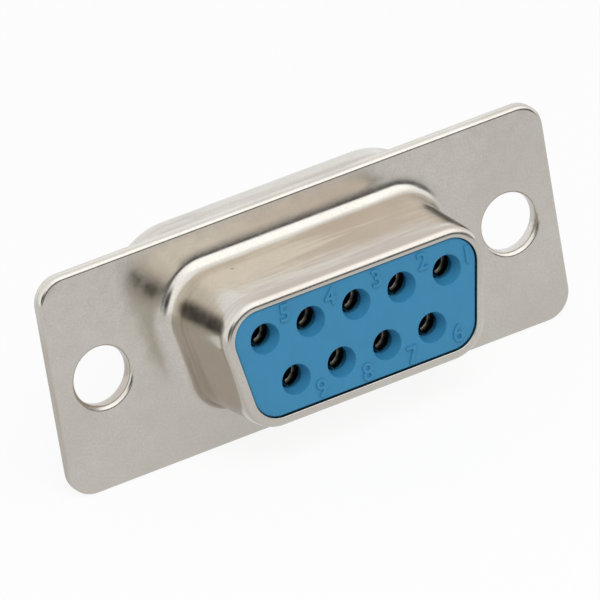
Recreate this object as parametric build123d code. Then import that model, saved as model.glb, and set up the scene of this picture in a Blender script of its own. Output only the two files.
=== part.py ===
from build123d import *
from math import atan2, cos, degrees, radians, sin, sqrt, tan
import os

# A nine-way D-sub socket connector with solder cups, in millimetres.
# The origin is the middle of the flange's front face. The mating side faces -Y, the row of five contacts is the
# upper one (+Z), and the flange lies along X. "Forward" below means towards -Y.

# Contacts
upper_count = 5
lower_count = 4
contact_pitch = 2.77
row_spacing = 2.84
pin_bore_radius = 0.53
pin_bore_length = 5.3
pin_lead_in = 0.14
tine_radius = 0.78
tine_slot_width = 0.20
tine_slot_length = 3.2
tine_nose_chamfer = 0.06
contact_setback = 1.15
collar_radius = 1.12
collar_thickness = 0.60
cup_radius = 0.86
cup_length = 5.2
cup_bore_radius = 0.60
cup_bore_length = 3.6
cup_open_length = 2.2
cup_scoop_run = 0.9
cup_scoop_height = 0.12

# Sheet metal shells
sheet = 0.40
shroud_lean = 10.0
shroud_corner_radius = 2.30
shroud_side_margin = 2.575
shroud_row_margin = 2.48
shroud_length = 5.65
shroud_draft = 0.16
shroud_rim_flat = 0.10
shroud_root_radius = 0.90
shroud_bend_radius = 0.10
pan_step = 1.55
pan_length = 3.60
pan_rim_flat = 0.40
pan_root_radius = 0.50
pan_bend_radius = 0.50
flange_above_pan = 0.825
flange_end_margin = 2.91
flange_corner_radius = 1.50
flange_edge_round = 0.15
hole_from_shroud = 4.38
hole_radius = 1.64
hole_lip_radius = 0.30
neck_wall = 0.35
swage_thickness = 0.30
swage_overhang = 0.41
swage_flare_radius = 0.50

# Mouldings
face_setback = 0.12
face_edge_round = 0.08
mouth_chamfer = 0.06
shoulder_thickness = 1.20
rear_boss_height = 0.70
rear_boss_edge_round = 0.20

# Clearances on each side, between pieces that go into each other
window_clearance = 0.08
moulding_clearance = 0.05
contact_clearance = 0.06
neck_clearance = 0.03

# Sizes across the connector that follow from those above
shroud_width = (upper_count - 1) * contact_pitch + 2 * shroud_side_margin
shroud_height = row_spacing + 2 * shroud_row_margin
shroud_rim_width = shroud_draft + sheet + shroud_bend_radius + shroud_rim_flat
pan_rim_width = sheet + pan_bend_radius + pan_rim_flat
hole_spacing = shroud_width + 2 * hole_from_shroud
flange_width = hole_spacing + 2 * flange_end_margin
flange_height = shroud_height + 2 * (pan_step + flange_above_pan)
cavity_radius = tine_radius + contact_clearance
collar_pocket_radius = collar_radius + contact_clearance
cup_hole_radius = cup_radius + contact_clearance
neck_radius = hole_radius + neck_wall
swage_radius = neck_radius + swage_overhang

# Places along Y that follow from those above, front to back
rim_front = -shroud_length
face_front = rim_front + face_setback
rim_inside = rim_front + sheet
contact_front = face_front + contact_setback
seam_between_shells = sheet
flange_back = 2 * sheet
swage_back = flange_back + swage_thickness
seam_between_mouldings = seam_between_shells + shoulder_thickness
collar_front = seam_between_mouldings - collar_thickness
pan_back = flange_back + pan_length
pan_inside = pan_back - sheet
boss_back = pan_back + rear_boss_height
cup_back = boss_back + cup_length


def facing(y):
    """The plane at a place along Y that looks forward, with X to the right and Z up."""
    return Plane.XZ.offset(-y)


def d_face(inset, y):
    """The shroud's D outline at a place along Y, moved inward all round by an inset."""
    corner = shroud_corner_radius - inset
    half_width = shroud_width / 2 - inset
    half_height = shroud_height / 2 - inset
    lean = radians(shroud_lean)
    top = half_width - corner + corner * (1 + sin(lean)) / cos(lean)
    bottom = top - 2 * half_height * tan(lean)
    corners = [(top, half_height), (-top, half_height), (-bottom, -half_height), (bottom, -half_height)]
    outline = Polygon(*corners, align=None)
    return facing(y) * fillet(outline.vertices(), corner)


def flange_face(y):
    """The outline that both flanges share, at a place along Y."""
    return facing(y) * RectangleRounded(flange_width, flange_height, flange_corner_radius)


def prism(face, front, back):
    """A face at the front place, drawn out backward to the back place."""
    return extrude(face, amount=front - back)


def drafted(face, length, draft):
    """A face drawn out forward by a length, with sides that lean in all round by a draft."""
    return extrude(face, amount=length, taper=degrees(atan2(draft, length)))


def edges_on(solid, face):
    """The edges of a solid that lie on the outline of a face."""
    outline = face.face().outer_wire()
    return solid.edges().filter_by(lambda edge: outline.distance_to(edge @ 0.5) < 1e-4)


def turned(points, arcs=()):
    """A solid of revolution about the Y axis, from (radius, y) points. Each arc replaces the straight run between
    a point and the next one by a quarter round with the given centre."""
    centres = dict(arcs)
    runs = []
    for i, start in enumerate(points):
        end = points[(i + 1) % len(points)]
        if i in centres:
            runs.append(quarter_round(start, end, centres[i]))
        else:
            runs.append(Line(start, end))
    return revolve(make_face(Curve() + runs), axis=Axis.Y)


def quarter_round(start, end, centre):
    """A quarter circle between two points about a centre."""
    across = (start[0] + end[0] - 2 * centre[0], start[1] + end[1] - 2 * centre[1])
    middle = (centre[0] + across[0] / sqrt(2), centre[1] + across[1] / sqrt(2))
    return ThreePointArc(start, middle, end)


def bent_form(plate_front, inset, length, draft, root_radius, rim_radius):
    """A flange plate with a D-shaped form standing forward from it, rounded at its root and its rim."""
    root = d_face(inset, plate_front)
    rim = d_face(inset + draft, plate_front - length)
    plate = prism(flange_face(plate_front), plate_front, plate_front + sheet)
    form = plate + drafted(root, length, draft)
    form = fillet(edges_on(form, root), root_radius)
    return fillet(edges_on(form, rim), rim_radius)


def drawn_shell(inset, length, draft, rim_width, root_radius, bend_radius):
    """A flange of sheet metal with a D drawn forward out of it, of even thickness, with a window in its front."""
    outside = bent_form(0, inset, length, draft, root_radius, bend_radius + sheet)
    inside = bent_form(sheet, inset + sheet, length, draft, root_radius + sheet, bend_radius)
    window = prism(d_face(inset + rim_width, -length), -length, 0)
    shell = outside - inside - window
    return fillet(edges_on(shell, flange_face(0)), flange_edge_round)


def at_holes(solid):
    """Two copies of a solid, one on the axis of each mounting hole."""
    return [Pos(side * hole_spacing / 2, 0, 0) * solid for side in (-1, 1)]


def at_contacts(solid):
    """Copies of a solid on the axes of all the contacts."""
    return [Pos(x, 0, z) * solid for x, z in contact_places()]


def contact_places():
    """Where the contacts stand across the face, in the order of their numbers: upper row, then lower, from +X."""
    places = []
    for count, z in ((upper_count, row_spacing / 2), (lower_count, -row_spacing / 2)):
        for i in range(count):
            places.append((((count - 1) / 2 - i) * contact_pitch, z))
    return places


def make_front_shell():
    """Flange and shroud, with a neck drawn through the rear shell at each hole and swaged over its back."""
    shell = drawn_shell(
        0, shroud_length, shroud_draft, shroud_rim_width, shroud_root_radius, shroud_bend_radius)
    neck = turned([
        (0, 0),
        (neck_radius, 0),
        (neck_radius, flange_back),
        (swage_radius, flange_back),
        (swage_radius, swage_back),
        (0, swage_back),
    ])
    lip_start = (hole_radius + hole_lip_radius, 0)
    flare_end = (hole_radius + swage_flare_radius, swage_back)
    bore = turned(
        [
            (0, 0),
            lip_start,
            (hole_radius, hole_lip_radius),
            (hole_radius, swage_back - swage_flare_radius),
            flare_end,
            (0, swage_back),
        ],
        arcs=[(1, (lip_start[0], hole_lip_radius)), (3, (flare_end[0], swage_back - swage_flare_radius))],
    )
    return shell + at_holes(neck) - at_holes(bore)


def make_rear_shell():
    """Flange and pan, with clear holes for the necks of the front shell."""
    shell = drawn_shell(-pan_step, pan_length, 0, pan_rim_width, pan_root_radius, pan_bend_radius)
    shell = Pos(0, flange_back, 0) * mirror(shell, about=Plane.XZ)
    clear_hole = Cylinder(neck_radius + neck_clearance, 2 * flange_back, rotation=(90, 0, 0))
    return shell - at_holes(Pos(0, seam_between_shells, 0) * clear_hole)


def make_front_insulator():
    """The moulding in the shroud: boss in the window, body, shoulder behind the flange, and nine stepped holes."""
    wall = sheet + moulding_clearance
    body = drafted(d_face(wall, seam_between_shells), shroud_length, shroud_draft)
    body_face = d_face(wall + shroud_draft, rim_inside)
    body = fillet(edges_on(body, body_face), shroud_bend_radius + moulding_clearance)
    boss_face = d_face(shroud_rim_width + window_clearance, face_front)
    boss = prism(boss_face, face_front, seam_between_shells)
    boss = fillet(edges_on(boss, boss_face), face_edge_round)
    shoulder_face = d_face(wall - pan_step, seam_between_shells)
    shoulder = prism(shoulder_face, seam_between_shells, seam_between_mouldings)
    cavity = turned([
        (0, face_front),
        (cavity_radius + mouth_chamfer, face_front),
        (cavity_radius, face_front + mouth_chamfer),
        (cavity_radius, collar_front),
        (collar_pocket_radius, collar_front),
        (collar_pocket_radius, seam_between_mouldings),
        (0, seam_between_mouldings),
    ])
    return body + boss + shoulder - at_contacts(cavity)


def make_rear_insulator():
    """The moulding in the pan, with a boss through the pan's opening and nine holes."""
    front = d_face(sheet + moulding_clearance - pan_step, seam_between_mouldings)
    body = prism(front, seam_between_mouldings, pan_inside)
    back = d_face(sheet + moulding_clearance - pan_step, pan_inside)
    body = fillet(edges_on(body, back), pan_bend_radius + moulding_clearance)
    boss_inset = pan_rim_width + window_clearance - pan_step
    boss = prism(d_face(boss_inset, seam_between_mouldings), seam_between_mouldings, boss_back)
    boss = fillet(edges_on(boss, d_face(boss_inset, boss_back)), rear_boss_edge_round)
    hole = turned([
        (0, seam_between_mouldings),
        (cup_hole_radius, seam_between_mouldings),
        (cup_hole_radius, boss_back),
        (0, boss_back),
    ])
    return body + boss - at_contacts(hole)


def make_contact():
    """A turned socket contact on the Y axis: two tines round the pin's bore, collar, and a cup that opens upward."""
    body = turned([
        (0, contact_front),
        (tine_radius - tine_nose_chamfer, contact_front),
        (tine_radius, contact_front + tine_nose_chamfer),
        (tine_radius, collar_front),
        (collar_radius, collar_front),
        (collar_radius, seam_between_mouldings),
        (cup_radius, seam_between_mouldings),
        (cup_radius, cup_back),
        (0, cup_back),
    ])
    pin_bore = turned([
        (0, contact_front),
        (pin_bore_radius + pin_lead_in, contact_front),
        (pin_bore_radius, contact_front + pin_lead_in),
        (pin_bore_radius, contact_front + pin_bore_length),
        (0, contact_front + pin_bore_length),
    ])
    cup_bore = turned([
        (0, cup_back - cup_bore_length),
        (cup_bore_radius, cup_back - cup_bore_length),
        (cup_bore_radius, cup_back),
        (0, cup_back),
    ])
    slot = Box(tine_slot_width, 2 * tine_slot_length, 2 * collar_radius)
    slot = Pos(0, contact_front, 0) * slot
    return body - pin_bore - cup_bore - slot - make_scoop()


def make_scoop():
    """What is cut away from the upper side of a solder cup: a hollow slope down to an open trough."""
    trough_front = (cup_back - cup_open_length, cup_scoop_height)
    slope_top = (trough_front[0] - cup_scoop_run, cup_radius)
    slope = TangentArc(trough_front, slope_top, tangent=(-1, 0))
    rest = Polyline(slope_top, (cup_back, cup_radius), (cup_back, cup_scoop_height), trough_front)
    profile = Plane.YZ * make_face(Curve() + [slope, rest])
    return extrude(profile, amount=cup_radius, both=True)


def make_pieces():
    """All the pieces of the connector by name."""
    pieces = {
        "front_shell": make_front_shell(),
        "rear_shell": make_rear_shell(),
        "front_insulator": make_front_insulator(),
        "rear_insulator": make_rear_insulator(),
    }
    contact = make_contact()
    for number, (x, z) in enumerate(contact_places(), start=1):
        turn = 0 if z > 0 else 180
        pieces[f"contact_{number}"] = Pos(x, 0, z) * Rot(0, turn, 0) * contact
    return pieces


os.makedirs("parts", exist_ok=True)
for name, piece in make_pieces().items():
    piece.label = name
    export_step(piece, f"parts/{name}.step")
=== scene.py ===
"""Looks of a nine-way D-sub socket connector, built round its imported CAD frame.

Sizes are in millimetres, in the frame of the CAD part: the origin is the middle of the flange's front
face, -Y is the mating side, +Z is the side of the upper row of contacts, and X runs along the flange.
The finishes and the lamp are in metres, as Blender takes them.
"""

import logging
import math
from dataclasses import dataclass, field
from enum import Enum
from typing import Any, Iterable, Sequence

import bmesh
import bpy
from mathutils import Matrix, Vector


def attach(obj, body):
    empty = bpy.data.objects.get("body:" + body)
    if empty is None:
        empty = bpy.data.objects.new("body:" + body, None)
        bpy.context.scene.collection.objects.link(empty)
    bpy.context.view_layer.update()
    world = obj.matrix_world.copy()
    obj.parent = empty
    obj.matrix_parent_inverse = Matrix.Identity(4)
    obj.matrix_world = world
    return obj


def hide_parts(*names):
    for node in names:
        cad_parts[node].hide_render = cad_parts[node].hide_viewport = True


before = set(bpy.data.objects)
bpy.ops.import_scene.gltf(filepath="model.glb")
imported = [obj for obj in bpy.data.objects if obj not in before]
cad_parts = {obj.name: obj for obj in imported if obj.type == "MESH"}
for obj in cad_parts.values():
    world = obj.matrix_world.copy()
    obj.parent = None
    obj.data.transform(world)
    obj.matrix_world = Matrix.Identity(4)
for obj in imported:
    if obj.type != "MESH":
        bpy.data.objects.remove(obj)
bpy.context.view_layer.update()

log = logging.getLogger("connector")

MM = 0.001
SHARP_ANGLE = 35.0

Point = tuple[float, float]
Span = tuple[float, float]
Run = tuple[float, float, int]
Way = tuple[float, float, float]
Colour = tuple[float, float, float]
Loop = list[bmesh.types.BMVert]


class Slot(Enum):
    """Names of the material slots."""

    STEEL = "plated_steel"
    MOULDING = "blue_moulding"
    CONTACT = "contact_metal"


class Row(Enum):
    """The rows of contacts, with the side of the connector that they lie on."""

    UPPER = 1
    LOWER = -1


class Facing(Enum):
    """Which way a drawn shell stands out of its flange."""

    FORWARD = 1
    BACKWARD = -1


# Outlines and sections


def arc(centre: Point, radius: float, start: float, end: float, steps: int) -> list[Point]:
    """Makes points along part of a circle.

    Args:
        centre: Middle of the circle.
        radius: Radius of the circle.
        start: Angle of the first point, in degrees.
        end: Angle of the last point, in degrees.
        steps: Number of runs between the points.

    Returns:
        The points, both ends included.
    """
    angles = [math.radians(start + (end - start) * i / steps) for i in range(steps + 1)]
    return [(centre[0] + radius * math.cos(a), centre[1] + radius * math.sin(a)) for a in angles]


def chained(start: float, runs: Iterable[Run]) -> list[Point]:
    """Makes one smooth line of arcs, from (0, 0) on.

    Args:
        start: Angle of the first point on its circle, in degrees.
        runs: For each arc the angle where it ends, its radius and its number of steps.

    Returns:
        The points.
    """
    points = [(0.0, 0.0)]
    for end, radius, steps in runs:
        x, y = points[-1]
        turn = math.radians(start)
        centre = (x - radius * math.cos(turn), y - radius * math.sin(turn))
        points += arc(centre, radius, start, end, steps)[1:]
        start = end
    return points


def turned(section: Iterable[Point]) -> list[Point]:
    """Turns the radii of a section into insets of an outline about an axis."""
    return [(-radius, y) for radius, y in section]


@dataclass(frozen=True)
class Outline:
    """A closed outline across the connector, as points and the directions that lead out of it."""

    points: tuple[Point, ...]
    outward: tuple[Point, ...]

    @classmethod
    def with_corners(
        cls, corners: Iterable[tuple[Point, float, float]], radius: float, steps: int
    ) -> "Outline":
        """Makes an outline of round corners with straight runs between them.

        Args:
            corners: For each corner the middle of its round, and the angles where the round starts and ends.
            radius: Radius of the rounds.
            steps: Number of runs in each round.

        Returns:
            The outline.
        """
        points: list[Point] = []
        outward: list[Point] = []
        for centre, start, end in corners:
            points += arc(centre, radius, start, end, steps)
            outward += arc((0.0, 0.0), 1.0, start, end, steps)
        return cls(tuple(points), tuple(outward))

    @classmethod
    def plate(cls, width: float, height: float, radius: float) -> "Outline":
        """Makes the outline of a rectangular plate with round corners."""
        x, z = width / 2 - radius, height / 2 - radius
        corners = [((x, z), 90, 0), ((x, -z), 0, -90), ((-x, -z), -90, -180), ((-x, z), 180, 90)]
        return cls.with_corners(corners, radius, steps=14)

    @classmethod
    def round_about(cls, centre: Point, steps: int) -> "Outline":
        """Makes an outline of no size about an axis, whose negative insets are circles."""
        outward = arc((0.0, 0.0), 1.0, 0, 360 * (steps - 1) / steps, steps - 1)
        return cls((centre,) * steps, tuple(outward))

    def ring(self, inset: float, y: float) -> list[Vector]:
        """Gives the outline's points at a place along Y, moved inward all round by an inset."""
        pairs = zip(self.points, self.outward)
        return [Vector((x - inset * dx, y, z - inset * dz)) for (x, z), (dx, dz) in pairs]


class Draft:
    """A mesh in the making, in millimetres."""

    def __init__(self) -> None:
        """Starts with no faces."""
        self.mesh = bmesh.new()

    def loft(self, outline: Outline, section: Sequence[Point]) -> tuple[Loop, Loop]:
        """Covers the way of an outline along a section.

        Args:
            outline: The outline, as it runs across the connector.
            section: Insets of the outline, each with its place along Y.

        Returns:
            The first and the last loop of vertices.
        """
        loops = [[self.mesh.verts.new(p) for p in outline.ring(inset, y)] for inset, y in section]
        for near, far in zip(loops, loops[1:]):
            for i in range(len(near)):
                self.mesh.faces.new((near[i - 1], near[i], far[i], far[i - 1]))
        return loops[0], loops[-1]

    def fill(self, *loops: Loop) -> None:
        """Closes the flat area between loops, the first of which is the outer one."""
        edges = [self.mesh.edges.get((loop[i - 1], loop[i])) for loop in loops for i in range(len(loop))]
        bmesh.ops.triangle_fill(self.mesh, use_beauty=True, use_dissolve=False, edges=edges)

    def data(self, name: str) -> bpy.types.Mesh:
        """Ends the draft.

        Args:
            name: Name of the mesh.

        Returns:
            The mesh in metres, smooth but for its sharp edges.
        """
        bmesh.ops.recalc_face_normals(self.mesh, faces=self.mesh.faces)
        mesh = bpy.data.meshes.new(name)
        self.mesh.to_mesh(mesh)
        self.mesh.free()
        mesh.transform(Matrix.Scale(MM, 4))
        soften(mesh)
        return mesh


def soften(mesh: bpy.types.Mesh) -> None:
    """Shades a mesh smooth, with breaks at its sharp edges."""
    mesh.shade_smooth()
    mesh.set_sharp_from_angle(angle=math.radians(SHARP_ANGLE))


def walled(name: str, walls: Iterable[tuple[Outline, Sequence[Point]]]) -> bpy.types.Mesh:
    """Builds a closed mesh of an outer wall and the walls inside it, with flat ends between them.

    Args:
        name: Name of the mesh.
        walls: Outline and section of each wall, the outer one first.

    Returns:
        The mesh.
    """
    draft = Draft()
    ends = [draft.loft(outline, section) for outline, section in walls]
    draft.fill(*[first for first, _ in ends])
    draft.fill(*[last for _, last in ends])
    return draft.data(name)


def shown(name: str, data: bpy.types.ID) -> bpy.types.Object:
    """Puts an object with this data into the scene."""
    thing = bpy.data.objects.new(name, data)
    bpy.context.scene.collection.objects.link(thing)
    return thing


def made_from(source: bpy.types.Object) -> bpy.types.Mesh:
    """Turns an object with its modifiers into a mesh of its own, and removes the object."""
    bpy.context.view_layer.update()
    mesh = bpy.data.meshes.new_from_object(source.evaluated_get(bpy.context.evaluated_depsgraph_get()))
    bpy.data.objects.remove(source)
    return mesh


def placed(
    mesh: bpy.types.Mesh, material: bpy.types.Material, nodes: Sequence[str] = ()
) -> None:
    """Makes a piece of the connector out of a mesh.

    Args:
        mesh: Mesh in the frame of the CAD part, in metres.
        material: Finish of the piece.
        nodes: CAD nodes that the piece stands for.
    """
    piece = shown(mesh.name, mesh)
    mesh.materials.clear()
    mesh.materials.append(material)
    shading = piece.modifiers.new("flat faces keep flat", "WEIGHTED_NORMAL")
    shading.keep_sharp = True
    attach(piece, "root")
    if nodes:
        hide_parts(*nodes)
    log.info("%s: %d faces", piece.name, len(mesh.polygons))


# Finishes


@dataclass(frozen=True)
class Relief:
    """How strongly a height shows on a surface, and how far it reaches."""

    strength: float
    reach: float


class Board:
    """A node tree in the making."""

    def __init__(self, tree: bpy.types.NodeTree) -> None:
        """Takes an empty tree."""
        self.tree = tree

    def add(self, kind: str, inputs: dict[str | int, Any] | None = None, **settings: Any) -> bpy.types.Node:
        """Adds a node.

        Args:
            kind: Blender's name of the node type.
            inputs: For each input socket a value, or the output socket that feeds it.
            settings: The node's own settings.

        Returns:
            The node.
        """
        node = self.tree.nodes.new(kind)
        for name, value in settings.items():
            setattr(node, name, value)
        for key, value in (inputs or {}).items():
            if isinstance(value, bpy.types.NodeSocket):
                self.tree.links.new(value, node.inputs[key])
            else:
                node.inputs[key].default_value = value
        return node

    def place(self) -> bpy.types.NodeSocket:
        """Gives the place on the piece."""
        return self.add("ShaderNodeTexCoord").outputs["Object"]

    def math(self, operation: str, first: Any, second: Any = 0.0) -> bpy.types.NodeSocket:
        """Adds a sum on two values or sockets and gives its result."""
        return self.add("ShaderNodeMath", {0: first, 1: second}, operation=operation).outputs[0]

    def weigh(self, first: Any, second: Any, share: float) -> bpy.types.NodeSocket:
        """Adds up two values, of which the first has the given share, and gives the result."""
        rest = self.math("MULTIPLY", second, 1.0 - share)
        return self.math("ADD", self.math("MULTIPLY", first, share), rest)

    def span(
        self, value: Any, low: float, high: float, to_low: Any = 0.0, to_high: Any = 1.0
    ) -> bpy.types.NodeSocket:
        """Carries a value softly from one range to another.

        Args:
            value: The value's socket.
            low: Start of its range.
            high: End of its range.
            to_low: What the start becomes.
            to_high: What the end becomes.

        Returns:
            The socket of the result.
        """
        inputs = {"Value": value, "From Min": low, "From Max": high, "To Min": to_low, "To Max": to_high}
        return self.add("ShaderNodeMapRange", inputs, interpolation_type="SMOOTHSTEP").outputs[0]

    def blend(self, share: Any, first: Any, second: Any) -> bpy.types.NodeSocket:
        """Mixes two colours by a share and gives the result's socket."""
        colours = [c if isinstance(c, bpy.types.NodeSocket) else (*c, 1.0) for c in (first, second)]
        inputs = {0: share, 6: colours[0], 7: colours[1]}
        return self.add("ShaderNodeMix", inputs, data_type="RGBA").outputs[2]

    def bump(
        self, height: bpy.types.NodeSocket, relief: Relief, over: bpy.types.NodeSocket | None = None
    ) -> bpy.types.NodeSocket:
        """Raises a surface by a height.

        Args:
            height: The height's socket.
            relief: How the height shows.
            over: Normal of the surface that is raised, where it has been raised before.

        Returns:
            The socket of the new normal.
        """
        inputs = {"Height": height, "Strength": relief.strength, "Distance": relief.reach}
        if over is not None:
            inputs["Normal"] = over
        return self.add("ShaderNodeBump", inputs).outputs[0]


class Effects:
    """Surface effects that several finishes share, as node groups."""

    COARSE_SCALE = 0.14

    def __init__(self) -> None:
        """Builds the groups."""
        self.clouds = self._clouds()
        self.grain = self._grain()
        self.specks = self._specks()
        self.draw_marks = self._draw_marks()

    @staticmethod
    def _group(
        name: str, inputs: Iterable[str], output: str
    ) -> tuple[Board, bpy.types.NodeOutputs, bpy.types.Node]:
        """Starts a group of number sockets.

        Args:
            name: The group's name.
            inputs: Names of its inputs.
            output: Name of its output.

        Returns:
            The board, the sockets of the inputs, and the node at the group's way out.
        """
        tree = bpy.data.node_groups.new(name, "ShaderNodeTree")
        for title in inputs:
            tree.interface.new_socket(name=title, in_out="INPUT", socket_type="NodeSocketFloat")
        tree.interface.new_socket(name=output, in_out="OUTPUT", socket_type="NodeSocketFloat")
        board = Board(tree)
        return board, board.add("NodeGroupInput").outputs, board.add("NodeGroupOutput")

    def _clouds(self) -> bpy.types.NodeTree:
        """Soft clouds of a given width, such as uneven plating or pigment."""
        board, given, way_out = self._group("Soft clouds", ("Per metre", "Contrast"), "Mask")
        noise = board.add("ShaderNodeTexNoise", {
            "Vector": board.place(), "Scale": given["Per metre"],
            "Detail": 3.0, "Roughness": 0.55, "Distortion": 0.4})
        centred = board.math("SUBTRACT", noise.outputs[0], 0.5)
        spread = board.math("MULTIPLY", centred, given["Contrast"])
        mask = board.add("ShaderNodeClamp", {0: board.math("ADD", spread, 0.5)})
        board.tree.links.new(mask.outputs[0], way_out.inputs["Mask"])
        return board.tree

    def _grain(self) -> bpy.types.NodeTree:
        """Fine even grain, such as a satin plating or the skin of a moulding."""
        board, given, way_out = self._group("Fine grain", ("Per metre", "Coarse share"), "Height")
        place, scale, share = board.place(), given["Per metre"], given["Coarse share"]
        fine = board.add("ShaderNodeTexNoise", {"Vector": place, "Scale": scale, "Detail": 2.0})
        wide = board.math("MULTIPLY", scale, self.COARSE_SCALE)
        coarse = board.add("ShaderNodeTexNoise", {"Vector": place, "Scale": wide, "Detail": 1.0})
        rest = board.math("MULTIPLY", fine.outputs[0], board.math("SUBTRACT", 1.0, share))
        height = board.math("ADD", rest, board.math("MULTIPLY", coarse.outputs[0], share))
        board.tree.links.new(height, way_out.inputs["Height"])
        return board.tree

    def _specks(self) -> bpy.types.NodeTree:
        """A few small round specks, such as pits in plating or dust on a moulding."""
        board, given, way_out = self._group("Sparse specks", ("Per metre", "Radius", "Share"), "Mask")
        cells = board.add("ShaderNodeTexVoronoi", {"Vector": board.place(), "Scale": given["Per metre"]})
        chance = board.add("ShaderNodeSeparateColor", {0: cells.outputs["Color"]}).outputs[0]
        chosen = board.math("LESS_THAN", chance, given["Share"])
        inside = board.add("ShaderNodeMapRange", {
            "Value": cells.outputs["Distance"], "From Min": given["Radius"], "From Max": 0.0})
        board.tree.links.new(board.math("MULTIPLY", chosen, inside.outputs[0]), way_out.inputs["Mask"])
        return board.tree

    def _draw_marks(self) -> bpy.types.NodeTree:
        """Marks that run round a drawn or turned wall, close together along the connector."""
        board, given, way_out = self._group("Draw marks", ("Per metre", "Length"), "Height")
        parts = board.add("ShaderNodeSeparateXYZ", {0: board.place()}).outputs
        across = [board.math("DIVIDE", parts[axis], given["Length"]) for axis in "XZ"]
        drawn = board.add("ShaderNodeCombineXYZ", {"X": across[0], "Y": parts["Y"], "Z": across[1]})
        noise = board.add("ShaderNodeTexNoise", {
            "Vector": drawn.outputs[0], "Scale": given["Per metre"], "Detail": 3.0, "Roughness": 0.6})
        board.tree.links.new(noise.outputs[0], way_out.inputs["Height"])
        return board.tree


def cleared(owner: bpy.types.Material | bpy.types.World) -> Board:
    """Empties the node tree of a material or a world, and gives its board."""
    owner.use_nodes = True
    owner.node_tree.nodes.clear()
    return Board(owner.node_tree)


def spaced(values: dict[str, float]) -> dict[str, float]:
    """Turns the underscores in the values' names into spaces."""
    return {name.replace("_", " "): value for name, value in values.items()}


def effect(board: Board, group: bpy.types.NodeTree, **inputs: float) -> bpy.types.NodeSocket:
    """Places one of the shared effects in a material.

    Args:
        board: The material's board.
        group: The effect's node group.
        inputs: The effect's values, with underscores for the spaces in their names.

    Returns:
        The effect's output.
    """
    return board.add("ShaderNodeGroup", spaced(inputs), node_tree=group).outputs[0]


def coated(
    board: Board, tone: bpy.types.NodeSocket, roughness: bpy.types.NodeSocket,
    normal: bpy.types.NodeSocket, **even: float
) -> None:
    """Ends a material with its surface shader.

    Args:
        board: The material's board.
        tone: Colour of the surface.
        roughness: Roughness of the surface.
        normal: Normal of the surface.
        even: Values that are the same all over, with underscores for the spaces in their names.
    """
    inputs = {"Base Color": tone, "Roughness": roughness, "Normal": normal, **spaced(even)}
    surface = board.add("ShaderNodeBsdfPrincipled", inputs)
    board.add("ShaderNodeOutputMaterial", {"Surface": surface.outputs[0]})


@dataclass(frozen=True)
class SatinPlate:
    """Satin plating over drawn sheet steel: mottled and slightly wavy, with draw marks, brown streaks on the
    walls that are partly draw marks and partly painted dark reflection, and a few pits.
    """

    pale: Colour = (0.630, 0.578, 0.502)
    dull: Colour = (0.565, 0.514, 0.440)
    # The drawn colour is partly draw marks and partly painted reflection: a dark, warm brown that stands in
    # for the walls' reflections.
    drawn: Colour = (0.470, 0.400, 0.335)
    pit: Colour = (0.10, 0.085, 0.07)
    pit_share: float = 0.8
    smooth: float = 0.15
    rough: float = 0.26
    wear_range: Span = (0.1, 0.9)
    wear_share: float = 0.6
    speckle_range: Span = (0.36, 0.64)
    speckle_share: float = 0.6
    streak_range: Span = (0.44, 0.60)
    streak_share: float = 0.9
    wall_range: Span = (0.9, 0.4)
    flat_share: float = 0.25
    draw_relief: Relief = Relief(0.40, 0.00003)
    wave_relief: Relief = Relief(0.35, 0.00004)
    grain_relief: Relief = Relief(0.22, 0.000006)

    def material(self, effects: Effects) -> bpy.types.Material:
        """Makes the material, whose draw marks and painted dark reflections show most on the walls that run
        along the connector.
        """
        material = bpy.data.materials.new("satin plated steel")
        board = cleared(material)
        clouds = effect(board, effects.clouds, Per_metre=420.0, Contrast=1.9)
        wear = effect(board, effects.clouds, Per_metre=1500.0, Contrast=2.2)
        pits = effect(board, effects.specks, Per_metre=620.0, Radius=0.085, Share=0.10)
        grain = effect(board, effects.grain, Per_metre=8000.0, Coarse_share=0.25)
        wave = effect(board, effects.clouds, Per_metre=260.0, Contrast=1.0)
        marks = effect(board, effects.draw_marks, Per_metre=620.0, Length=9.0)
        normal = board.add("ShaderNodeNewGeometry").outputs["Normal"]
        across = board.add("ShaderNodeSeparateXYZ", {0: normal}).outputs["Y"]
        walls = board.span(board.math("ABSOLUTE", across), *self.wall_range, self.flat_share, 1.0)
        streak_and_reflection_share = board.span(marks, *self.streak_range, 0.0, self.streak_share)
        mottle = board.weigh(board.span(grain, *self.speckle_range), clouds, self.speckle_share)
        plate = board.blend(mottle, self.dull, self.pale)
        # Brown streaks on the walls: draw marks, darkened and warmed as painted reflection.
        streaks_and_painted_reflection = board.blend(board.math("MULTIPLY", streak_and_reflection_share, walls), plate, self.drawn)
        tone = board.blend(board.math("MULTIPLY", pits, self.pit_share), streaks_and_painted_reflection, self.pit)
        worn = board.weigh(wear, clouds, self.wear_share)
        roughness = board.span(worn, *self.wear_range, self.smooth, self.rough)
        sheet = board.bump(wave, self.wave_relief, over=board.bump(marks, self.draw_relief))
        skin = board.bump(grain, self.grain_relief, over=sheet)
        coated(board, tone, roughness, skin, Metallic=1.0)
        return material


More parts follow.
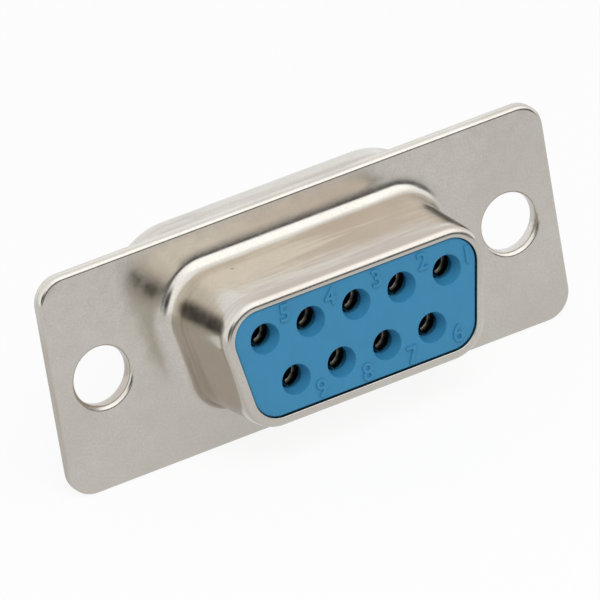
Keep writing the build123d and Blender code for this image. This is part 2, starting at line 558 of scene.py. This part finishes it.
@dataclass(frozen=True)
class BlueMoulding:
    """Blue moulded plastic with a fine satin skin and a little dust."""

    light: Colour = (0.041, 0.231, 0.412)
    deep: Colour = (0.035, 0.208, 0.380)
    dust: Colour = (0.20, 0.36, 0.50)
    dust_share: float = 0.25
    smooth: float = 0.36
    rough: float = 0.50
    gloss: float = 0.32
    grain_relief: Relief = Relief(0.25, 0.000012)

    def material(self, effects: Effects) -> bpy.types.Material:
        """Makes the material."""
        material = bpy.data.materials.new("blue moulding")
        board = cleared(material)
        clouds = effect(board, effects.clouds, Per_metre=520.0, Contrast=1.6)
        flecks = effect(board, effects.specks, Per_metre=1500.0, Radius=0.10, Share=0.05)
        grain = effect(board, effects.grain, Per_metre=12000.0, Coarse_share=0.35)
        plastic = board.blend(clouds, self.deep, self.light)
        tone = board.blend(board.math("MULTIPLY", flecks, self.dust_share), plastic, self.dust)
        roughness = board.span(clouds, 0.0, 1.0, self.smooth, self.rough)
        coated(board, tone, roughness, board.bump(grain, self.grain_relief), Specular_IOR_Level=self.gloss)
        return material


@dataclass(frozen=True)
class TurnedContact:
    """Turned metal, tin-plated at the cup, with fine rings from the lathe's tool; its mating end is painted
    dark as shade, where it sits deep in its hole.
    """

    # The first two tones are painted shade: the mating end is coloured dark, as if deep in the shade of its
    # hole.
    shaded_pale: Colour = (0.24, 0.225, 0.19)
    dull: Colour = (0.13, 0.12, 0.10)
    tin: Colour = (0.60, 0.575, 0.53)
    shade_fade_start: float = 0.0012
    shade_fade_end: float = 0.0026
    shade_edge_wander: float = 0.0004
    smooth: float = 0.18
    rough: float = 0.36
    ring_share: float = 0.7
    skin_relief: Relief = Relief(0.30, 0.00001)

    def material(self, effects: Effects) -> bpy.types.Material:
        """Makes the material."""
        material = bpy.data.materials.new("turned contact metal")
        board = cleared(material)
        clouds = effect(board, effects.clouds, Per_metre=1300.0, Contrast=2.0)
        grain = effect(board, effects.grain, Per_metre=16000.0, Coarse_share=0.3)
        rings = effect(board, effects.draw_marks, Per_metre=9000.0, Length=60.0)
        along = board.add("ShaderNodeSeparateXYZ", {0: board.place()}).outputs["Y"]
        # Painted shade on the mating end fades into the tin colour along Y, with a wandering edge.
        edge = board.math("ADD", along, board.math("MULTIPLY", clouds, self.shade_edge_wander))
        tin_past_shade = board.span(edge, self.shade_fade_start, self.shade_fade_end)
        tone = board.blend(tin_past_shade, board.blend(clouds, self.dull, self.shaded_pale), self.tin)
        roughness = board.span(clouds, 0.0, 1.0, self.rough, self.smooth)
        skin = board.bump(board.weigh(rings, grain, self.ring_share), self.skin_relief)
        coated(board, tone, roughness, skin, Metallic=1.0)
        return material


# The connector


@dataclass(frozen=True)
class Layout:
    """Sizes and places that the pieces of the connector share."""

    sheet: float = 0.40
    shroud_width: float = 16.23
    shroud_height: float = 7.80
    shroud_corner: float = 2.30
    shroud_lean: float = 10.0
    shroud_length: float = 5.65
    shroud_rim: float = 0.76
    shroud_draft: float = 0.16
    shroud_root: float = 0.90
    shroud_bend: float = 0.10
    pan_step: float = 1.55
    pan_length: float = 3.60
    pan_rim: float = 1.30
    pan_root: float = 0.50
    pan_bend: float = 0.50
    flange_width: float = 30.81
    flange_height: float = 12.55
    flange_corner: float = 1.50
    hole_spacing: float = 24.99
    hole_radius: float = 1.64
    neck_wall: float = 0.35
    face_setback: float = 0.12
    shoulder: float = 1.20
    collar: float = 0.60
    boss_height: float = 0.70
    contact_pitch: float = 2.77
    row_spacing: float = 2.84
    upper_count: int = 5
    lower_count: int = 4
    window_gap: float = 0.05
    moulding_gap: float = 0.05

    @property
    def flange_back(self) -> float:
        """Back of the two flanges."""
        return 2 * self.sheet

    @property
    def face_front(self) -> float:
        """Front face of the front insulator."""
        return self.face_setback - self.shroud_length

    @property
    def seam(self) -> float:
        """Where the two mouldings meet."""
        return self.sheet + self.shoulder

    @property
    def collar_front(self) -> float:
        """Front of the contacts' collars."""
        return self.seam - self.collar

    @property
    def pan_back(self) -> float:
        """Back of the pan."""
        return self.flange_back + self.pan_length

    @property
    def boss_back(self) -> float:
        """Back of the rear insulator."""
        return self.pan_back + self.boss_height

    @property
    def neck_radius(self) -> float:
        """Outer radius of the necks at the mounting holes."""
        return self.hole_radius + self.neck_wall

    @property
    def hole_centres(self) -> list[Point]:
        """Axes of the mounting holes."""
        return [(-self.hole_spacing / 2, 0.0), (self.hole_spacing / 2, 0.0)]

    def contact_places(self) -> list[tuple[Point, Row]]:
        """Gives each contact's axis and row, in the order of the contact numbers."""
        places = []
        for row, count in ((Row.UPPER, self.upper_count), (Row.LOWER, self.lower_count)):
            for i in range(count):
                x = ((count - 1) / 2 - i) * self.contact_pitch
                places.append(((x, row.value * self.row_spacing / 2), row))
        return places

    def flange(self) -> Outline:
        """Makes the outline of the flanges."""
        return Outline.plate(self.flange_width, self.flange_height, self.flange_corner)

    def shroud(self) -> Outline:
        """Makes the D-shaped outline of the shroud, of which all the other D shapes are insets."""
        lean = math.radians(self.shroud_lean)
        radius = self.shroud_corner
        x = self.shroud_width / 2 - radius
        z = self.shroud_height / 2 - radius
        low_x = x - 2 * z * math.tan(lean)
        corners = [
            ((x, z), 90, -self.shroud_lean),
            ((low_x, -z), -self.shroud_lean, -90),
            ((-low_x, -z), -90, -180 + self.shroud_lean),
            ((-x, z), 180 + self.shroud_lean, 90),
        ]
        return Outline.with_corners(corners, radius, steps=26)

    def moulded(self, name: str, section: Sequence[Point], hole: Sequence[Point]) -> bpy.types.Mesh:
        """Builds a D-shaped moulding with a hole for each contact.

        Args:
            name: Name of the mesh.
            section: Section of the moulding, as insets of the shroud's outline.
            hole: Section of a hole, as radii.

        Returns:
            The mesh.
        """
        axes = [Outline.round_about(centre, steps=56) for centre, _ in self.contact_places()]
        return walled(name, [(self.shroud(), section)] + [(axis, turned(hole)) for axis in axes])


@dataclass(frozen=True)
class DrawnShell:
    """A flange of sheet metal with a D drawn out of it. Its section is measured as if it stood forward.

    The runs are the arcs of an eased root or bend: the turn at which each ends, in degrees, its radius,
    and its number of steps.
    """

    layout: Layout
    facing: Facing
    inset: float
    length: float
    draft: float
    rim: float
    root_round: float
    bend_round: float
    edge_round: float = 0.25
    edge_break: float = 0.05
    root_runs: tuple[Run, ...] = ()
    bend_runs: tuple[Run, ...] = ()

    def along(self, section: Iterable[Point]) -> list[Point]:
        """Turns a section to the way that the shell faces."""
        if self.facing is Facing.FORWARD:
            return list(section)
        return [(inset, self.layout.flange_back - y) for inset, y in section]

    @property
    def lean(self) -> float:
        """Angle of the wall's draft, in radians."""
        return math.atan2(self.draft, self.length)

    def root_arc(self, radius: float, shift: float, steps: int) -> list[Point]:
        """Gives the round from the flange into the wall.

        Args:
            radius: Radius of the round.
            shift: How far the face lies behind the outer one.
            steps: Number of runs in the round.

        Returns:
            The points of the section.
        """
        sine, cosine = math.sin(self.lean), math.cos(self.lean)
        down = radius * (1 - sine) / cosine
        centre = (down * sine - radius * cosine + shift, shift - radius)
        return arc(centre, radius, 90, math.degrees(self.lean), steps)

    def bend_arc(self, radius: float, shift: float, steps: int) -> list[Point]:
        """Gives the round from the wall into the rim, with the arguments of root_arc."""
        sine, cosine = math.sin(self.lean), math.cos(self.lean)
        down = (self.length - radius + radius * sine) / cosine
        centre = (down * sine + radius * cosine + shift, shift + radius - self.length)
        return arc(centre, radius, 180 + math.degrees(self.lean), 270, steps)

    def eased_root(self) -> list[Point]:
        """Gives the outer face of the root, which eases out of the flange and into the wall."""
        wall = math.degrees(self.lean)
        points = chained(90, [(max(90 - end, wall), radius, steps) for end, radius, steps in self.root_runs])
        inset, y = points[-1]
        out = -y * math.tan(self.lean) - inset
        return [(i + out, y) for i, y in points]

    def eased_bend(self) -> list[Point]:
        """Gives the outer face of the bend, which eases out of the wall and turns into the rim."""
        start = 180 + math.degrees(self.lean)
        points = chained(start, [(180 + end, radius, steps) for end, radius, steps in self.bend_runs])
        wall = self.length + points[-1][1]
        return [(inset + wall * math.tan(self.lean), y - wall) for inset, y in points]

    def form_section(self) -> list[Point]:
        """Gives the section of the D: root, wall, rim and window, and back along the inside."""
        sheet, lip, bend = self.layout.sheet, self.edge_break, self.bend_round
        section = self.eased_root() if self.root_runs else self.root_arc(self.root_round, 0.0, steps=18)
        section += self.eased_bend() if self.bend_runs else self.bend_arc(bend + sheet, 0.0, steps=16)
        section += arc((self.rim - lip, lip - self.length), lip, 270, 360, steps=4)
        section += [(self.rim, sheet - self.length)]
        section += self.bend_arc(bend, sheet, steps=5)[::-1]
        section += self.root_arc(self.root_round + sheet, sheet, steps=12)[::-1]
        return self.along((self.inset + inset, y) for inset, y in section)

    def flange_section(self) -> list[Point]:
        """Gives the section of the flange's edge, rounded on the outside and broken at the seam."""
        sheet, lip, edge = self.layout.sheet, self.edge_break, self.edge_round
        section = arc((edge, edge), edge, 270, 180, steps=6)
        section += arc((lip, sheet - lip), lip, 180, 90, steps=3)
        return self.along(section)

    def hole_section(self) -> list[Point]:
        """Gives the section of a mounting hole, as radii, from the outside to the seam."""
        raise NotImplementedError

    def mesh(self, name: str) -> bpy.types.Mesh:
        """Builds the shell."""
        plan = self.layout
        axes = [Outline.round_about(centre, steps=80) for centre in plan.hole_centres]
        walls = [(plan.flange(), self.flange_section()), (plan.shroud(), self.form_section())]
        return walled(name, walls + [(axis, turned(self.hole_section())) for axis in axes])


@dataclass(frozen=True)
class FrontShell(DrawnShell):
    """The shell with the shroud. Its holes end in necks that are swaged over the back of the rear shell."""

    lip_round: float = 0.30
    swage: float = 0.30
    swage_overhang: float = 0.41
    flare_round: float = 0.50
    swage_edge: float = 0.12
    root_runs: tuple[Run, ...] = ((8.0, 3.5, 6), (76.0, 0.8, 20), (84.0, 3.0, 5), (90.0, 14.0, 6))
    bend_runs: tuple[Run, ...] = ((12.0, 3.0, 6), (90.0, 0.42, 14))

    @classmethod
    def on(cls, layout: Layout) -> "FrontShell":
        """Makes the shell to a layout."""
        return cls(
            layout, Facing.FORWARD, inset=0.0, length=layout.shroud_length, draft=layout.shroud_draft,
            rim=layout.shroud_rim, root_round=layout.shroud_root, bend_round=layout.shroud_bend)

    def hole_section(self) -> list[Point]:
        """Gives the section of a hole: lip, bore, flare and swage, and the neck back to the flange."""
        plan, lip, flare, edge = self.layout, self.lip_round, self.flare_round, self.swage_edge
        hole, neck = plan.hole_radius, plan.neck_radius
        back = plan.flange_back + self.swage
        outer = neck + self.swage_overhang
        section = arc((hole + lip, lip), lip, 270, 180, steps=8)
        section += arc((hole + flare, back - flare), flare, 180, 90, steps=8)
        section += arc((outer - edge, back - edge), edge, 90, 0, steps=4)
        return section + [(outer, plan.flange_back), (neck, plan.flange_back), (neck, plan.sheet)]


@dataclass(frozen=True)
class RearShell(DrawnShell):
    """The shell with the pan, which has clear holes for the necks."""

    neck_gap: float = 0.03

    @classmethod
    def on(cls, layout: Layout) -> "RearShell":
        """Makes the shell to a layout."""
        return cls(
            layout, Facing.BACKWARD, inset=-layout.pan_step, length=layout.pan_length, draft=0.0,
            rim=layout.pan_rim, root_round=layout.pan_root, bend_round=layout.pan_bend)

    def hole_section(self) -> list[Point]:
        """Gives the section of a plain hole."""
        radius = self.layout.neck_radius + self.neck_gap
        return [(radius, self.layout.flange_back), (radius, self.layout.sheet)]


@dataclass(frozen=True)
class FrontInsulator:
    """The moulding in the shroud, with the mating face."""

    layout: Layout
    cavity: float = 0.84
    collar_pocket: float = 1.18
    face_round: float = 0.08
    funnel: float = 0.86
    funnel_depth: float = 0.66
    entry: float = 0.67
    entry_length: float = 0.10
    entry_ease: float = 0.02
    entry_ease_run: float = 0.027
    mouth_round: float = 0.05

    def section(self) -> list[Point]:
        """Gives the moulding's section from the mating face to the seam."""
        plan, edge = self.layout, self.face_round
        boss = plan.shroud_rim + plan.window_gap
        wall = plan.sheet + plan.moulding_gap
        tip = wall + plan.shroud_draft
        bend = plan.shroud_bend + plan.moulding_gap
        shelf = plan.sheet - plan.shroud_length
        section = arc((boss + edge, plan.face_front + edge), edge, 270, 180, steps=5)
        section += [(boss, shelf)]
        section += arc((tip + bend, shelf + bend), bend, 270, 180, steps=5)
        shoulder = wall - plan.pan_step
        return section + [(wall, plan.sheet), (shoulder, plan.sheet), (shoulder, plan.seam)]

    def cavity_section(self) -> list[Point]:
        """Gives the section of a contact's cavity: mouth, funnel, entry, bore and the collar's pocket."""
        plan, edge = self.layout, self.mouth_round
        slope = math.degrees(math.atan2(self.funnel - self.entry, self.funnel_depth))
        reach = edge * math.tan(math.radians((90 - slope) / 2))
        section = arc((self.funnel + reach, plan.face_front + edge), edge, 270, 180 + slope, steps=5)
        entry_front = plan.face_front + self.funnel_depth
        entry_back = entry_front + self.entry_length
        section += [(self.entry + self.entry_ease, entry_front - self.entry_ease_run)]
        section += [(self.entry, entry_front + self.entry_ease), (self.entry, entry_back)]
        section += [(self.cavity, entry_back), (self.cavity, plan.collar_front)]
        return section + [(self.collar_pocket, plan.collar_front), (self.collar_pocket, plan.seam)]

    def mesh(self, name: str) -> bpy.types.Mesh:
        """Builds the moulding."""
        return self.layout.moulded(name, self.section(), self.cavity_section())


@dataclass(frozen=True)
class RearInsulator:
    """The moulding in the pan, through which the solder cups stand out."""

    layout: Layout
    cup_hole: float = 0.92
    boss_round: float = 0.20
    hole_round: float = 0.05

    def section(self) -> list[Point]:
        """Gives the moulding's section from the back to the seam."""
        plan, edge = self.layout, self.boss_round
        boss = plan.pan_rim + plan.window_gap - plan.pan_step
        wall = plan.sheet + plan.moulding_gap - plan.pan_step
        bend = plan.pan_bend + plan.moulding_gap
        shelf = plan.pan_back - plan.sheet
        section = arc((boss + edge, plan.boss_back - edge), edge, 90, 180, steps=6)
        section += [(boss, shelf)]
        section += arc((wall + bend, shelf - bend), bend, 90, 180, steps=5)
        return section + [(wall, plan.seam)]

    def hole_section(self) -> list[Point]:
        """Gives the section of a solder cup's hole."""
        edge = self.hole_round
        section = arc((self.cup_hole + edge, self.layout.boss_back - edge), edge, 90, 180, steps=3)
        return section + [(self.cup_hole, self.layout.seam)]

    def mesh(self, name: str) -> bpy.types.Mesh:
        """Builds the moulding."""
        return self.layout.moulded(name, self.section(), self.hole_section())


@dataclass(frozen=True)
class SocketContact:
    """A turned socket contact: two tines round the pin's guide and bore, a collar, and a solder cup."""

    layout: Layout
    setback: float = 1.15
    guide: float = 0.70
    guide_length: float = 0.45
    bore: float = 0.53
    bore_length: float = 5.3
    lead_in: float = 0.14
    tine: float = 0.78
    nose: float = 0.06
    slot_width: float = 0.20
    slot_length: float = 3.2
    collar: float = 1.12
    cup: float = 0.86
    cup_length: float = 5.2
    cup_bore: float = 0.60
    cup_bore_length: float = 3.6
    cup_open: float = 2.2
    scoop_run: float = 0.9
    scoop_height: float = 0.12
    edge_break: float = 0.03
    floor_ring: float = 0.02
    overcut: float = 0.2
    side_cut: float = 0.1
    steps: int = 56

    @property
    def front(self) -> float:
        """Tip of the tines."""
        return self.layout.face_front + self.setback

    @property
    def back(self) -> float:
        """End of the solder cup."""
        return self.layout.boss_back + self.cup_length

    def section(self) -> list[Point]:
        """Gives the section from the bottom of the bore round the outside to the bottom of the cup."""
        plan, front, back, lip = self.layout, self.front, self.back, self.edge_break
        lead = front + self.guide_length
        section = [(self.floor_ring, front + self.bore_length), (self.bore, front + self.bore_length)]
        section += arc((self.bore + self.lead_in, lead + self.lead_in), self.lead_in, 180, 270, steps=5)
        section += [(self.guide, lead), (self.guide, front)]
        section += arc((self.tine - self.nose, front + self.nose), self.nose, 270, 360, steps=4)
        section += [(self.tine, plan.collar_front)]
        section += arc((self.collar - lip, plan.collar_front + lip), lip, 270, 360, steps=2)
        section += arc((self.collar - lip, plan.seam - lip), lip, 0, 90, steps=2)
        section += [(self.cup, plan.seam)]
        section += arc((self.cup - lip, back - lip), lip, 0, 90, steps=3)
        section += arc((self.cup_bore + lip, back - lip), lip, 90, 180, steps=3)
        bottom = back - self.cup_bore_length
        return section + [(self.cup_bore, bottom), (self.floor_ring, bottom)]

    def body(self) -> bpy.types.Mesh:
        """Builds the turned form, before it is cut."""
        return walled("turned_form", [(Outline.round_about((0.0, 0.0), self.steps), turned(self.section()))])

    def scoop(self) -> list[Point]:
        """Gives the side view, as (y, z), of what is cut away over the solder cup."""
        trough = self.back - self.cup_open
        rise = self.cup - self.scoop_height
        radius = (self.scoop_run ** 2 + rise ** 2) / (2 * rise)
        reach = math.degrees(math.asin(self.scoop_run / radius))
        slope = arc((trough, self.scoop_height + radius), radius, 270, 270 - reach, steps=10)
        beyond = slope[-1][0] - self.overcut * math.tan(math.radians(reach))
        top, end = self.cup + self.overcut, self.back + self.overcut
        return slope + [(beyond, top), (end, top), (end, self.scoop_height)]

    def cutters(self) -> list[bpy.types.Mesh]:
        """Builds the forms that cut the slot between the tines and the open side of the cup."""
        start, end, reach = self.front - self.overcut, self.front + self.slot_length, self.collar
        slot = [(start, -reach), (start, reach), (end, reach), (end, -reach)]
        meshes = []
        for view, half in ((slot, self.slot_width / 2), (self.scoop(), self.cup + self.side_cut)):
            draft = Draft()
            sides = [[draft.mesh.verts.new((x, y, z)) for y, z in view] for x in (-half, half)]
            for i in range(len(view)):
                draft.mesh.faces.new((sides[0][i - 1], sides[0][i], sides[1][i], sides[1][i - 1]))
            for side in sides:
                draft.mesh.faces.new(side)
            meshes.append(draft.data("cutter"))
        return meshes

    def mesh(self) -> bpy.types.Mesh:
        """Builds one contact on the Y axis, with its cup open to the top."""
        contact = shown("contact", self.body())
        tools = [shown("cutter", cutter) for cutter in self.cutters()]
        for tool in tools:
            cut = contact.modifiers.new("cut", "BOOLEAN")
            cut.operation = "DIFFERENCE"
            cut.solver = "EXACT"
            cut.object = tool
        mesh = made_from(contact)
        for tool in tools:
            bpy.data.objects.remove(tool)
        soften(mesh)
        return mesh

    def place_all(self, material: bpy.types.Material) -> None:
        """Places a copy at each contact's axis, the lower row upside down."""
        pattern = self.mesh()
        for number, ((x, z), row) in enumerate(self.layout.contact_places(), start=1):
            mesh = pattern.copy()
            mesh.name = f"socket_contact_{number}"
            turn = 0.0 if row is Row.UPPER else math.pi
            mesh.transform(Matrix.Translation((x * MM, 0.0, z * MM)) @ Matrix.Rotation(turn, 4, "Y"))
            placed(mesh, material, [f"contact_{number}"])


@dataclass(frozen=True)
class ContactNumbers:
    """Plain raised numbers beside the contacts on the mating face."""

    layout: Layout
    height: float = 1.0
    size_per_height: float = 1.38
    relief: float = 0.10
    edge_round: float = 0.02
    edge_steps: int = 2
    curve_steps: int = 8
    places: tuple[tuple[str, Point], ...] = (
        ("1", (6.80, 1.90)), ("2", (4.18, 2.46)), ("3", (1.36, 2.46)),
        ("4", (-1.48, 2.42)), ("5", (-4.22, 2.46)), ("6", (5.58, -2.20)),
        ("7", (2.74, -2.46)), ("8", (0.0, -2.46)), ("9", (-2.80, -2.38)),
    )

    def number(self, text: str, place: Point) -> bpy.types.Mesh:
        """Builds one number.

        Args:
            text: The number.
            place: Its middle on the mating face.

        Returns:
            The mesh, which stands out of the face and goes as far into it.
        """
        letters = bpy.data.curves.new("number", "FONT")
        letters.body = text
        letters.align_x = "CENTER"
        letters.align_y = "CENTER"
        letters.size = self.height * self.size_per_height * MM
        letters.extrude = (self.relief - self.edge_round) * MM
        letters.bevel_depth = self.edge_round * MM
        letters.bevel_resolution = self.edge_steps
        letters.resolution_u = self.curve_steps
        mesh = made_from(shown("number", letters))
        low = Vector([min(v.co[i] for v in mesh.vertices) for i in range(3)])
        high = Vector([max(v.co[i] for v in mesh.vertices) for i in range(3)])
        upright = Matrix.Rotation(math.pi / 2, 4, "X") @ Matrix.Translation(-(low + high) / 2)
        spot = Vector((place[0], self.layout.face_front, place[1])) * MM
        mesh.transform(Matrix.Translation(spot) @ upright)
        return mesh

    def mesh(self, name: str) -> bpy.types.Mesh:
        """Builds all the numbers as one mesh."""
        together = bmesh.new()
        for text, place in self.places:
            together.from_mesh(self.number(text, place))
        mesh = bpy.data.meshes.new(name)
        together.to_mesh(mesh)
        together.free()
        soften(mesh)
        return mesh


@dataclass
class Connector:
    """The whole connector."""

    layout: Layout = field(default_factory=Layout)
    plate: SatinPlate = field(default_factory=SatinPlate)
    moulding: BlueMoulding = field(default_factory=BlueMoulding)
    contact: TurnedContact = field(default_factory=TurnedContact)

    def build(self) -> None:
        """Builds and dresses every piece."""
        effects = Effects()
        steel = self.plate.material(effects)
        blue = self.moulding.material(effects)
        metal = self.contact.material(effects)
        placed(FrontShell.on(self.layout).mesh("shroud_shell"), steel, ["front_shell"])
        placed(RearShell.on(self.layout).mesh("pan_shell"), steel, ["rear_shell"])
        placed(FrontInsulator(self.layout).mesh("mating_moulding"), blue, ["front_insulator"])
        placed(RearInsulator(self.layout).mesh("rear_moulding"), blue, ["rear_insulator"])
        SocketContact(self.layout).place_all(metal)
        placed(ContactNumbers(self.layout).mesh("contact_numbers"), blue)


# The studio


@dataclass(frozen=True)
class Studio:
    """White floor, light tent with a dark room before it, soft lamp, and the camera of the photograph."""

    floor_level: float = -6.29
    floor_reach: float = 2500.0
    floor_front: float = 45.0
    floor_white: float = 0.9
    floor_shade: float = 0.10
    sky: float = 0.55
    behind: float = 1.20
    front: float = 1.45
    wall_range: Span = (0.5, -0.6)
    cool: Colour = (0.95, 1.0, 1.065)
    glow: float = 0.40
    glow_way: Way = (0.40, -0.63, 0.66)
    glow_range: Span = (0.80, 0.97)
    room: float = 0.10
    room_ahead: Span = (-0.3, -0.6)
    room_side: Span = (-0.45, -0.22)
    room_top: Span = (0.26, 0.12)
    dark: float = 0.03
    dark_way: Way = (-0.60, -0.79, 0.12)
    dark_range: Span = (0.91, 0.99)
    lamp_power: float = 1.26
    lamp_width: float = 0.30
    lamp_place: Way = (-0.06, -0.32, 0.34)
    azimuth: float = -25.94
    elevation: float = 23.50
    roll: float = -9.72
    distance: float = 600.0
    shift_right: float = -0.447
    shift_up: float = -0.028
    pixels_per_mm: float = 19.009
    image_width: int = 600
    sensor_width: float = 36.0
    near_clip: float = 50.0
    far_clip: float = 20000.0

    @staticmethod
    def bent(board: Board, path: bpy.types.Node) -> bpy.types.NodeSocket:
        """Gives 1 for the rays that come off gloss or through glass."""
        return board.math("MAXIMUM", path.outputs["Is Glossy Ray"], path.outputs["Is Transmission Ray"])

    @staticmethod
    def toward(board: Board, way: bpy.types.NodeSocket, aim: Way) -> bpy.types.NodeSocket:
        """Gives how far a ray's way agrees with an aim, up to 1."""
        inputs = {0: way, 1: Vector(aim).normalized()}
        return board.add("ShaderNodeVectorMath", inputs, operation="DOT_PRODUCT").outputs["Value"]

    def eye_way(self) -> Vector:
        """Gives the direction from the connector to the camera."""
        azimuth, elevation = math.radians(self.azimuth), math.radians(self.elevation)
        ahead = math.cos(elevation)
        return Vector((math.sin(azimuth) * ahead, -math.cos(azimuth) * ahead, math.sin(elevation)))

    def floor(self) -> None:
        """Lays the white floor, which is clear from below."""
        reach, front, white = self.floor_reach * MM, -self.floor_front * MM, self.floor_white
        mesh = bpy.data.meshes.new("floor")
        corners = [(-reach, front, 0), (reach, front, 0), (reach, reach, 0), (-reach, reach, 0)]
        mesh.from_pydata(corners, [], [(0, 1, 2, 3)])
        floor = shown("floor", mesh)
        floor.location.z = self.floor_level * MM
        material = bpy.data.materials.new("white floor")
        board = cleared(material)
        path = board.add("ShaderNodeLightPath")
        eye = path.outputs["Is Camera Ray"]
        lit = board.add("ShaderNodeBsdfDiffuse", {"Color": (white, white, white, 1.0)})
        paint = board.blend(eye, [white * c for c in self.cool], (1.0, 1.0, 1.0))
        even = board.add("ShaderNodeEmission", {"Color": paint, "Strength": 1.0})
        seen = board.math("MAXIMUM", eye, self.bent(board, path))
        share = board.math("MULTIPLY", seen, 1.0 - self.floor_shade)
        top = board.add("ShaderNodeMixShader", {0: share, 1: lit.outputs[0], 2: even.outputs[0]})
        clear = board.add("ShaderNodeBsdfTransparent")
        below = board.add("ShaderNodeNewGeometry").outputs["Backfacing"]
        both = board.add("ShaderNodeMixShader", {0: below, 1: top.outputs[0], 2: clear.outputs[0]})
        board.add("ShaderNodeOutputMaterial", {"Surface": both.outputs[0]})
        mesh.materials.append(material)

    def tent(self) -> None:
        """Puts up the light tent.

        It is white to the camera and even to matt surfaces. Metal sees it brighter in front than behind, with
        a glow above on the right, the dark room low in front, and a dark patch to the front left.
        """
        world = bpy.data.worlds.new("light tent")
        board = cleared(world)
        way = board.add("ShaderNodeTexCoord").outputs["Generated"]
        parts = board.add("ShaderNodeSeparateXYZ", {0: way}).outputs
        walls = board.span(parts["Y"], *self.wall_range, self.behind, self.front)
        glow = board.span(self.toward(board, way, self.glow_way), *self.glow_range, 0.0, self.glow)
        ahead, beside = board.span(parts["Y"], *self.room_ahead), board.span(parts["X"], *self.room_side)
        low = board.span(parts["Z"], *self.room_top)
        opening = board.math("MULTIPLY", board.math("MULTIPLY", ahead, beside), low)
        room = board.span(opening, 0.0, 1.0, 1.0, self.room)
        patch = board.span(self.toward(board, way, self.dark_way), *self.dark_range, 1.0, self.dark)
        level = board.math("MULTIPLY", board.math("ADD", walls, glow), board.math("MULTIPLY", room, patch))
        path = board.add("ShaderNodeLightPath")
        bent = self.bent(board, path)
        scattered = board.add("ShaderNodeMix", {0: bent, 2: self.sky, 3: level}).outputs[0]
        strength = board.add("ShaderNodeMix", {0: path.outputs["Is Camera Ray"], 2: scattered, 3: 1.0})
        tint = board.blend(bent, (1.0, 1.0, 1.0), self.cool)
        light = board.add("ShaderNodeBackground", {"Color": tint, "Strength": strength.outputs[0]})
        board.add("ShaderNodeOutputWorld", {"Surface": light.outputs[0]})
        bpy.context.scene.world = world

    def lamp(self) -> None:
        """Hangs the soft lamp in front of the connector and above it."""
        light = bpy.data.lights.new("soft lamp", "AREA")
        light.energy = self.lamp_power
        light.size = self.lamp_width
        lamp = shown("soft lamp", light)
        lamp.location = self.lamp_place
        lamp.rotation_euler = (-Vector(self.lamp_place)).to_track_quat("-Z", "Y").to_euler()
        lamp.visible_camera = False
        lamp.visible_glossy = False

    def camera(self) -> None:
        """Sets the camera where the photograph was taken from."""
        azimuth, roll = math.radians(self.azimuth), math.radians(self.roll)
        back = self.eye_way()
        level = Vector((math.cos(azimuth), math.sin(azimuth), 0.0))
        upright = back.cross(level)
        right = math.cos(roll) * level + math.sin(roll) * upright
        up = -math.sin(roll) * level + math.cos(roll) * upright
        eye = (self.shift_right * right + self.shift_up * up + self.distance * back) * MM
        lens = bpy.data.cameras.new("camera")
        lens.sensor_width = self.sensor_width
        lens.lens = self.pixels_per_mm * self.distance * self.sensor_width / self.image_width
        lens.clip_start = self.near_clip * MM
        lens.clip_end = self.far_clip * MM
        camera = shown("camera", lens)
        camera.matrix_world = Matrix.Translation(eye) @ Matrix((right, up, back)).transposed().to_4x4()
        bpy.context.scene.camera = camera

    def build(self) -> None:
        """Sets up floor, light and camera."""
        self.floor()
        self.tent()
        self.lamp()
        self.camera()
        bpy.context.scene.view_settings.view_transform = "Standard"


def main() -> None:
    """Builds the connector and its studio."""
    logging.basicConfig(level=logging.INFO, format="%(name)s: %(message)s")
    Connector().build()
    Studio().build()


if __name__ == "__main__":
    main()
